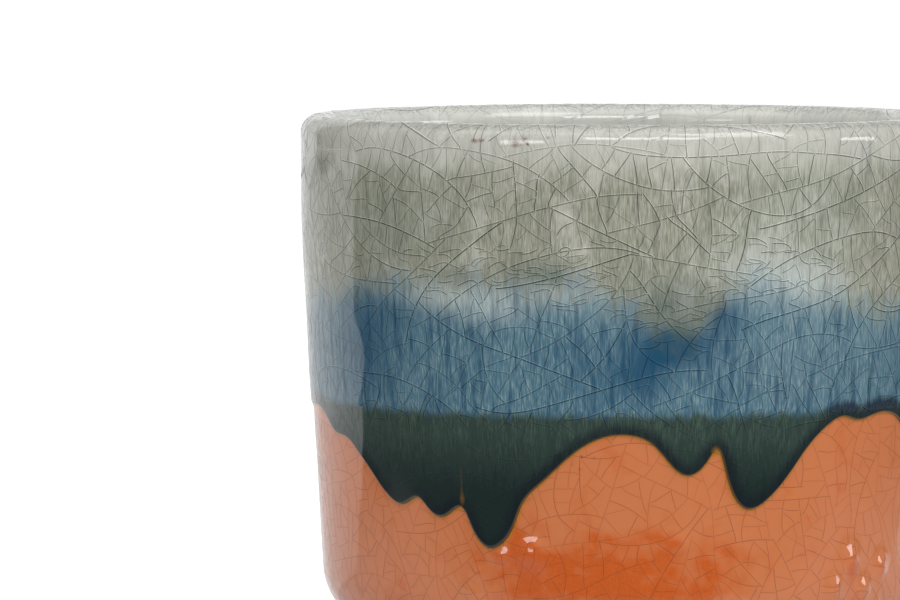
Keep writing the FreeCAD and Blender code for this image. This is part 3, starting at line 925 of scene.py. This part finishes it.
class OrangeCoat(bpy.types.Operator):
    """Lays the orange glaze over the outside."""

    bl_idname = "cachepot.orange_coat"
    bl_label = "Orange coat"

    def execute(self, context):
        """Rows down the outer line at the first coat's height with the ripple, and back on the clay."""
        shape = pot_shape()
        line = shape.outer
        crown = line.along[int(np.argmax(line.point.imag))]
        hidden = along_at(line, shape.dip + 3 * MM)
        corner = along_at(line, 20 * MM)
        end = line.along[-1]
        last = end - 0.3 * MM
        down = stations((crown, hidden, 16), (hidden, corner, 80), (corner, last, 24), (last, end, 2))
        back = stations((end, hidden, 6), (hidden, crown, 4))
        azimuth = around(720)
        height = orange_height(shape, azimuth, down)
        height[-1] -= 0.2 * MM
        points = coat_points(line, down, height, back, azimuth)
        readings = glaze_readings(shape, azimuth, points[..., 2])
        material = glossy_material("orange_glaze", orange_glaze_colour, shape)
        new_coat("orange_coat", "orange_base_glaze", material, points, readings)
        return {"FINISHED"}


class DarkRuns(bpy.types.Operator):
    """Lays the dark glaze band, which ends in runs with a rolled edge."""

    bl_idname = "cachepot.dark_runs"
    bl_label = "Dark runs"

    def execute(self, context):
        """Rows follow the runs' edge and level out upwards. The height is the coat's, or near the edge that
        of a quarter circle over the distance to the edge."""
        shape = pot_shape()
        size = shape.size
        radius = size.run_edge_radius
        columns = 1440
        azimuth = around(columns)
        edge = look_up(shape.edge_level, azimuth)
        slope = np.gradient(edge[0]) / (2 * math.pi / columns * RUN_RADIUS)
        lean = np.sqrt(1 + slope**2)
        kernel = np.hanning(9) / np.hanning(9).sum()
        lean = np.convolve(np.concatenate([lean[-4:], lean, lean[:4]]), kernel, "valid")[None, :]
        roll = radius * (1 - np.cos(np.linspace(0, math.pi / 2, 11)))
        above = np.concatenate([roll, radius + np.array([0.3, 0.7, 1.2, 1.9, 2.7]) * MM])[:, None]
        near = edge + above * lean
        far = near[-1:] + (shape.dark_top - near[-1:]) * np.linspace(0, 1, 15)[1:, None]
        level = np.concatenate([near, far])[::-1]
        distance = np.maximum(edge_distance(shape, azimuth, level), 0)
        distance[-1] = 0
        round_edge = np.sqrt(radius**2 - (radius - np.minimum(distance, radius)) ** 2)
        height = size.first_coat + np.minimum(dark_thickness(shape, level), round_edge)
        behind = level[[-8, -14, 4, 0]]
        down = along_at(shape.outer, np.concatenate([level, behind]))
        height = np.concatenate([height, np.full(behind.shape, size.first_coat - SINK)])
        height = height + ripple(shape, azimuth, down)
        points = turned(at(shape.outer, down, height), azimuth)
        readings = glaze_readings(shape, azimuth, points[..., 2])
        material = glossy_material("dark_glaze", upper_glaze_colour, shape)
        new_coat("dark_runs", "dark_run_glaze", material, points, readings)
        return {"FINISHED"}


class PaleRim(bpy.types.Operator):
    """Lays the pale glaze over the rim and the upper half."""

    bl_idname = "cachepot.pale_rim"
    bl_label = "Pale rim"

    def execute(self, context):
        """Rows over the lip and down the outer line at the coat's height, and back on the coats below."""
        shape = pot_shape()
        size = shape.size
        line = shape.outer
        tuck = 0.05 * MM
        lap = size.pale_coat_lap - shape.lip_radius
        shoulder = lap + math.pi * shape.lip_radius
        taper = along_at(line, size.crown_level - size.upright_depth - size.bend_height)
        dip = along_at(line, shape.dip)
        over_lip = ((0, tuck, 1), (tuck, lap, 6), (lap, shoulder, 28))
        down = stations(*over_lip, (shoulder, taper, 32), (taper, dip - tuck, 32), (dip - tuck, dip, 1))
        back = stations((dip, taper, 6), (taper, shoulder, 6), (shoulder, lap, 12), (lap, 0, 2))
        azimuth = around(720)
        on_dark = np.where(back > taper, dark_thickness(shape, at(line, back).imag), 0)
        height = pale_height(shape, down)
        height[0] -= tuck
        height = np.concatenate([height, size.first_coat - SINK + on_dark])
        along = np.concatenate([down, back])
        height = height + ripple(shape, azimuth, along) * settled(shape, along)
        points = turned(at(line, along, height), azimuth)
        readings = glaze_readings(shape, azimuth, points[..., 2])
        material = glossy_material("pale_glaze", upper_glaze_colour, shape)
        new_coat("pale_rim", "pale_rim_glaze", material, points, readings)
        return {"FINISHED"}


def lining_height(shape, azimuth, along, quiet):
    """The lining's outer side above the clay: the coat, and a ripple where the glaze isn't quiet."""
    return shape.size.first_coat + ripple(shape, azimuth, along, LINING_SEED) * quiet


def fade_in(distance, reach):
    """0 where the distance is nothing, and 1 from the reach on."""
    return np.clip(distance / reach, 0, 1)


class Lining(bpy.types.Operator):
    """Lays the lining glaze over the inside."""

    bl_idname = "cachepot.lining"
    bl_label = "Lining"

    def execute(self, context):
        """Rows down the inner line at the first coat's height with a ripple, and back on the clay."""
        shape = pot_shape()
        line = shape.inner
        end = line.along[-1]
        down = stations((0, end - 10 * MM, 120), (end - 10 * MM, end, 8))
        back = stations((end, 0, 24))
        azimuth = around(480)
        quiet = fade_in(end - down, QUIET_REACH) * fade_in(down, 3 * MM)
        points = coat_points(line, down, lining_height(shape, azimuth, down, quiet), back, azimuth)
        points[np.abs(points[..., :2]).max(-1) < HAIR, :2] = 0
        material = glossy_material("lining_glaze", lining_colour, shape, 0.1, 0.4)
        new_coat("lining", "lining_glaze", material, points)
        return {"FINISHED"}


class CrackleLines(bpy.types.Operator):
    """Draws the crackle in the pale and dark coats."""

    bl_idname = "cachepot.crackle_lines"
    bl_label = "Crackle lines"

    def execute(self, context):
        """Strips along the crack paths, laid a hair above the coats."""
        shape = pot_shape()
        size = shape.size
        line = shape.outer
        dip = along_at(line, shape.dip)
        lip_start, lip_end = LIP_BAND

        def wrinkled(x, y):
            """Most just above the border of the grey and the blue: e to minus a squared distance."""
            azimuth = x / CRACKLE_RADIUS
            up = (at(line, y).imag - look_up(shape.blue_level, azimuth)) / MM
            patchy = 0.12 + 0.88 * np.clip(np.cos(2 * (azimuth + math.radians(0.715))), 0, 1)
            return np.exp(-((up - 3.0) / 5.5) ** 2) * patchy

        def on_the_lip(_, y):
            return (y > lip_start) & (y < lip_end)

        upright, slanting, short = (0, 12, -12), (45, -45, 80, -80), (0, 90, 45, -45)
        waves = (
            Wave(6.5 * MM, 500, 34 * MM, upright, 30, 30, 3.0),
            Wave(3.6 * MM, 3000, 26 * MM, slanting, 34, 60, 6.0, 0.95, 0.95),
            Wave(0.7 * MM, 26000, 3.4 * MM, upright, 25, 300, 70.0, 0.8, 0.9, wrinkled),
            Wave(2.3 * MM, 9000, 20 * MM, None, 22, 60, 8.0, 0.95, 0.9),
            Wave(1.7 * MM, 14000, 16 * MM, None, 26, 60, 10.0, 0.85, 0.85),
            Wave(1.3 * MM, 16000, 12 * MM, None, 30, 90, 12.0, 0.75, 0.8),
            Wave(1.1 * MM, 1600, 2.6 * MM, short, 30, 200, 20.0, 0.6, 0.75),
            Wave(0.5 * MM, 9000, 1.3 * MM, (62, -118), 22, 200, 30.0, 0.4, 0.7, on_the_lip),
        )
        around_pot = 2 * math.pi * CRACKLE_RADIUS
        paths = combed(*crack_paths(11, around_pot, along_at(line, shape.tip), waves))
        _, crack, wave = paths
        strength = crack_strengths(23, 0.6, 1.0, crack) * of_waves(waves, "strength", wave)
        sides, faces, lit = crackle_strips(paths, size.crackle_width, of_waves(waves, "thin", wave))
        azimuth, along = sides.real / CRACKLE_RADIUS, np.clip(sides.imag, 0.2 * MM, None)
        level = at(line, along).imag
        on_dark = size.first_coat + dark_thickness(shape, level) + HAIR
        height = np.where(along < dip, pale_height(shape, along), on_dark)
        height = height + ripple(shape, azimuth, along) * settled(shape, along)
        on_lip = fade_in(lip_end - along, MM) * fade_in(along - 4 * MM, MM)
        height = height + STRIP_LIFT + (0.003 * wave[:, None] + 0.02 * on_lip) * MM
        clear = edge_distance(shape, azimuth, level).min(1) > size.run_edge_radius
        faces = faces_within(clear | (along.max(1) < dip - 0.2 * MM), faces)
        points = turned(at(line, along, height), azimuth)
        faint = 1.0 - 0.75 * np.clip((along - dip) / (6 * MM) + 0.2, 0, 1)
        indoors = fade_in(9.5 * MM - along, 3 * MM)
        strength = strength[:, None] * faint * (1 - 0.3 * on_lip) * (1 - 0.85 * indoors)
        readings = {**glaze_readings(shape, azimuth, points[..., 2]), **strip_readings(lit, strength)}
        material = glossy_material("crackle_line", upper_glaze_colour, shape, line=crackle_line)
        lay_strips("crackle_lines", points, faces[:, ::-1], material, readings)
        return {"FINISHED"}


class CrazeLines(bpy.types.Operator):
    """Draws the craze in the orange coat."""

    bl_idname = "cachepot.craze_lines"
    bl_label = "Craze lines"

    def execute(self, context):
        """Strips along the craze paths, laid a hair above the coat."""
        shape = pot_shape()
        line = shape.outer
        top = along_at(line, shape.dip + 3 * MM)
        waves = (
            Wave(4.0 * MM, 900, 30 * MM, (0, 9, -9, 70, -70), 20, 45, 4.0),
            Wave(2.2 * MM, 6000, 20 * MM, None, 18, 90, 9.0, 0.95),
            Wave(1.5 * MM, 16000, 14 * MM, None, 18, 110, 14.0, 0.9),
            Wave(1.2 * MM, 16000, 10 * MM, None, 24, 120, 16.0, 0.8),
            Wave(1.5 * MM, 700, 2.0 * MM, None, 40, 120, 9.0, 0.6),
        )
        depth = line.along[-1] - 1 * MM - top
        points, crack, wave = combed(*crack_paths(29, 2 * math.pi * RUN_RADIUS, depth, waves))
        strength = crack_strengths(31, 0.35, 0.75, crack) * of_waves(waves, "strength", wave)
        paths = (points + 1j * top, crack, wave)
        sides, faces, lit = crackle_strips(paths, shape.size.craze_width, 1)
        azimuth, along = sides.real / RUN_RADIUS, sides.imag
        height = orange_height(shape, azimuth, along) + STRIP_LIFT + 0.004 * wave[:, None] * MM
        points = turned(at(line, along, height), azimuth)
        readings = glaze_readings(shape, azimuth, points[..., 2])
        faces = faces_within(readings["run_edge"].max(1) < 0.4, faces)
        readings |= strip_readings(lit, strength[:, None])
        material = glossy_material("craze_line", orange_glaze_colour, shape, line=craze_line)
        lay_strips("craze_lines", points, faces[:, ::-1], material, readings)
        return {"FINISHED"}


class LiningLines(bpy.types.Operator):
    """Draws the crackle in the lining."""

    bl_idname = "cachepot.lining_lines"
    bl_label = "Lining lines"

    def execute(self, context):
        """Strips along crack paths: one net down the wall, and one laid flat on the floor."""
        shape = pot_shape()
        line = shape.inner
        end = line.along[-1]
        width = 0.8 * shape.size.crackle_width
        waves = (
            Wave(7.0 * MM, 400, 34 * MM, (0, 5, -5), 24, 25, 2.0),
            Wave(4.6 * MM, 1600, 26 * MM, None, 20, 40, 4.0),
            Wave(3.0 * MM, 5000, 16 * MM, None, 16, 60, 5.0),
            Wave(2.2 * MM, 6000, 9 * MM, None, 24, 80, 8.0),
        )

        def strip_points(azimuth, along, wave):
            height = lining_height(shape, azimuth, along, fade_in(end - along, QUIET_REACH))
            height = height + STRIP_LIFT + 0.004 * wave[:, None] * MM
            return turned(at(line, along, height), azimuth)

        start = shape.size.pale_coat_lap + 1 * MM
        depth = end - FLOOR_NET / 2 - start
        wall = combed(*crack_paths(41, 2 * math.pi * LINING_RADIUS, depth, waves))
        floor = combed(*crack_paths(43, FLOOR_NET, FLOOR_NET, waves))
        sides, faces, lit = crackle_strips(wall, width, 1)
        points = strip_points(sides.real / LINING_RADIUS, sides.imag + start, wall[2])
        sides, floor_faces, floor_lit = crackle_strips(floor, width, 1)
        spot = sides - (1 + 1j) * FLOOR_NET / 2
        reach = np.abs(spot)
        floor_points = strip_points(np.angle(1j * spot), end - reach, floor[2])
        narrow = np.abs(np.diff(spot.real, axis=1))[:, 0] < 5 * MM
        floor_faces = faces_within((reach.max(1) < FLOOR_REACH) & narrow, floor_faces)
        faces = np.concatenate([faces, floor_faces + 2 * len(wall[0])])
        points = np.concatenate([points, floor_points])
        crack = np.concatenate([wall[1], floor[1] + wall[1].max() + 1])
        strength = crack_strengths(47, 0.25, 0.6, crack)[:, None]
        readings = strip_readings(np.concatenate([lit, floor_lit]), strength)
        material = glossy_material("lining_line", lining_colour, shape, 0.1, 0.4, line=crackle_line)
        lay_strips("lining_lines", points, faces, material, readings)
        return {"FINISHED"}


class ClayAndUnderside(bpy.types.Operator):
    """Gives the bare clay and the underside's glaze their materials."""

    bl_idname = "cachepot.clay_and_underside"
    bl_label = "Clay and underside"

    def execute(self, context):
        """The felt pads aren't touched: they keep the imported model's plain felt."""
        glaze = glossy_material("underside_glaze", lining_colour, pot_shape(), 0.12, 0.4)
        for name, material in (("stoneware_body", clay_material()), ("underside_glaze", glaze)):
            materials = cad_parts[name].data.materials
            materials.clear()
            materials.append(material)
        return {"FINISHED"}


# Lamps: name, azimuth and elevation in degrees as seen from the pot, distance, width, height, watts
LAMPS = (
    ("front_softbox", 6.0, 29.0, 1.5, 1.0, 0.36, 7.0),
    ("overhead_softbox", 15.0, 78.0, 1.6, 1.6, 1.6, 8.0),
    ("right_softbox", 48.0, 46.0, 1.6, 0.9, 0.7, 7.0),
    ("left_softbox", -65.0, 52.0, 1.8, 0.9, 0.7, 2.0),
    ("low_left_lamp", -36.0, 8.0, 1.2, 0.32, 0.22, 1.3),
    ("low_right_lamp", 86.0, 8.0, 1.2, 0.36, 0.22, 1.4),
)
POT_MIDDLE = (0.0, 0.0, 0.062)
WHITE = (1, 1, 1, 1)
FLOOR_SIDES = 96
FLOOR_RINGS = (0.4, 8)  # radii in metres
BACKDROP_RADIUS = 2.6
BACKDROP_HEIGHT = 1.6
BACKDROP_POINTS = 60
CAMERA_SPOT = (0.0, -1.7, 0.18049)
CAMERA_DIP = 3.39995  # degrees below level
CAMERA_TURN = 1.3726  # degrees to the left
SENSOR_WIDTH = 36
FOCAL_SHARE = 7390 / 900  # focal length for a sensor that is 1 wide


class Studio(bpy.types.Operator):
    """Sets the floor, the backdrop, the lamps and the camera."""

    bl_idname = "cachepot.studio"
    bl_label = "Studio"

    def execute(self, context):
        lay_floor(floor_material(context.scene.cachepot_colours))
        stand_backdrop()
        light_world(context.scene)
        for lamp in LAMPS:
            hang_lamp(*lamp)
        aim_camera(context.scene)
        context.scene.view_settings.view_transform = "Standard"
        return {"FINISHED"}


def stage_mesh(name, points, faces, material):
    mesh = bpy.data.meshes.new(name)
    mesh.from_pydata(points.tolist(), [], faces)
    mesh.materials.append(material)
    thing = bpy.data.objects.new(name, mesh)
    bpy.context.scene.collection.objects.link(thing)
    return thing


def emission(tree, strength):
    return put(tree, "ShaderNodeEmission", {"Color": WHITE, "Strength": strength}).outputs[0]


def diffuse(tree, shade):
    return put(tree, "ShaderNodeBsdfDiffuse", {"Color": (*shade, 1.0)}).outputs[0]


def shader_mix(tree, amount, first, second):
    return put(tree, "ShaderNodeMixShader", {0: amount, 1: first, 2: second}).outputs[0]


def greater(tree, first, second):
    return sum_of(tree, "MAXIMUM", first, second)


def floor_material(colours):
    """Pale matt floor. In reflections it is a white sheet behind the pot, and dim elsewhere."""
    material, tree = new_material("studio_floor")
    tree.nodes.clear()
    rays = put(tree, "ShaderNodeLightPath").outputs
    matt = diffuse(tree, colours.floor)
    lifted = put(tree, "ShaderNodeAddShader", {0: matt, 1: emission(tree, 0.8)}).outputs[0]
    seen = shader_mix(tree, rays["Is Camera Ray"], matt, lifted)
    spot = object_spot(tree)
    axes = put(tree, "ShaderNodeSeparateXYZ", {0: spot}).outputs
    wide = sum_of(tree, "ABSOLUTE", axes["X"])
    share = scaled(tree, fade(tree, wide, 0.6, 0.65), 0.085, 0.265)
    share = scaled(tree, fade(tree, axes["X"], 0.2, 0.3), 0.2, share)
    behind = sum_of(tree, "SUBTRACT", axes["Y"], times(tree, wide, share))
    away = put(tree, "ShaderNodeVectorMath", {0: spot}, operation="LENGTH").outputs["Value"]
    sheet = times(tree, fade(tree, behind, -0.004, 0.004), fade(tree, away, 2.62, 2.5))
    near = times(tree, fade(tree, away, 0.4, 0.15), fade(tree, axes["Y"], -0.15, -0.06))
    mirrored = emission(tree, greater(tree, sheet, scaled(tree, near, 0.6, 0.15)))
    glossy = greater(tree, rays["Is Glossy Ray"], rays["Is Transmission Ray"])
    put(tree, "ShaderNodeOutputMaterial", {"Surface": shader_mix(tree, glossy, seen, mirrored)})
    return material


def lay_floor(material):
    """A wide disc: rings of points at growing radii."""
    azimuth = np.linspace(0, 2 * math.pi, FLOOR_SIDES, endpoint=False)
    ring = np.stack([np.cos(azimuth), np.sin(azimuth), 0 * azimuth], -1)
    points = np.concatenate([[[0, 0, 0]], *(radius * ring for radius in FLOOR_RINGS)])
    near = 1 + np.arange(FLOOR_SIDES)
    beside = 1 + near % FLOOR_SIDES
    middle = np.stack([0 * near, near, beside], -1)
    outer = np.stack([near, near + FLOOR_SIDES, beside + FLOOR_SIDES, beside], -1)
    stage_mesh("studio_floor", points, middle.tolist() + outer.tolist(), material)


def stand_backdrop():
    """A curved white wall behind the pot: an arc of points carried upwards."""
    azimuth = np.radians(np.linspace(180 - 40, 180 + 40, BACKDROP_POINTS))
    low = BACKDROP_RADIUS * np.stack([np.sin(azimuth), -np.cos(azimuth), 0 * azimuth], -1)
    points = np.concatenate([low, low + [0, 0, BACKDROP_HEIGHT]])
    index = np.arange(BACKDROP_POINTS - 1)
    above = index + BACKDROP_POINTS
    faces = np.stack([index, index + 1, above + 1, above], -1).tolist()
    material, tree = new_material("backdrop")
    tree.nodes.clear()
    rays = put(tree, "ShaderNodeLightPath").outputs
    shown = greater(tree, rays["Is Camera Ray"], rays["Is Glossy Ray"])
    shown = greater(tree, shown, rays["Is Transmission Ray"])
    mixed = shader_mix(tree, shown, diffuse(tree, (0.8, 0.8, 0.8)), emission(tree, 1.0))
    put(tree, "ShaderNodeOutputMaterial", {"Surface": mixed})
    stage_mesh("backdrop", points, faces, material).visible_camera = False


def light_world(scene):
    """White where the camera looks past everything, and a dim even room for every other ray."""
    world = bpy.data.worlds.new("studio_world")
    scene.world = world
    world.use_nodes = True
    tree = world.node_tree
    tree.nodes.clear()
    rays = put(tree, "ShaderNodeLightPath").outputs
    strength = scaled(tree, rays["Is Camera Ray"], 0.7, 0.3)
    sky = put(tree, "ShaderNodeBackground", {"Color": WHITE, "Strength": strength})
    put(tree, "ShaderNodeOutputWorld", {"Surface": sky.outputs[0]})


def hang_lamp(name, azimuth, elevation, distance, width, tall, watts):
    """A rectangular lamp that faces the pot from that direction."""
    lamp = bpy.data.lights.new(name, "AREA")
    lamp.shape = "RECTANGLE"
    lamp.size = width
    lamp.size_y = tall
    lamp.energy = watts
    holder = bpy.data.objects.new(name, lamp)
    bpy.context.scene.collection.objects.link(holder)
    turn, lift = math.radians(azimuth), math.radians(elevation)
    away = np.array([math.sin(turn) * math.cos(lift), -math.cos(turn) * math.cos(lift), math.sin(lift)])
    holder.location = np.array(POT_MIDDLE) + distance * away
    holder.rotation_euler = (math.pi / 2 - lift, 0, turn)


def aim_camera(scene):
    lens = bpy.data.cameras.new("camera")
    lens.sensor_width = SENSOR_WIDTH
    lens.lens = FOCAL_SHARE * SENSOR_WIDTH
    lens.clip_start = 0.05
    camera = bpy.data.objects.new("camera", lens)
    scene.collection.objects.link(camera)
    camera.location = CAMERA_SPOT
    camera.rotation_euler = (math.radians(90 - CAMERA_DIP), 0, math.radians(CAMERA_TURN))
    scene.camera = camera


class CachepotPanel(bpy.types.Panel):
    """Lists the cachepot's pieces in the sidebar."""

    bl_idname = "VIEW3D_PT_cachepot"
    bl_label = "Cachepot"
    bl_space_type = "VIEW_3D"
    bl_region_type = "UI"
    bl_category = "Cachepot"

    def draw(self, context):
        for operator in OPERATORS:
            self.layout.operator(operator.bl_idname)


COATS = (OrangeCoat, DarkRuns, PaleRim, Lining)
OPERATORS = (*COATS, CrackleLines, CrazeLines, LiningLines, ClayAndUnderside, Studio)
CLASSES = (CachepotSizes, CachepotColours, *OPERATORS, CachepotPanel)


def register():
    for cls in CLASSES:
        bpy.utils.register_class(cls)
    bpy.types.Scene.cachepot_sizes = bpy.props.PointerProperty(type=CachepotSizes)
    bpy.types.Scene.cachepot_colours = bpy.props.PointerProperty(type=CachepotColours)


def unregister():
    del bpy.types.Scene.cachepot_colours
    del bpy.types.Scene.cachepot_sizes
    for cls in reversed(CLASSES):
        bpy.utils.unregister_class(cls)


def main():
    register()
    for operator in OPERATORS:
        group, name = operator.bl_idname.split(".")
        getattr(getattr(bpy.ops, group), name)()


if __name__ == "__main__":
    main()
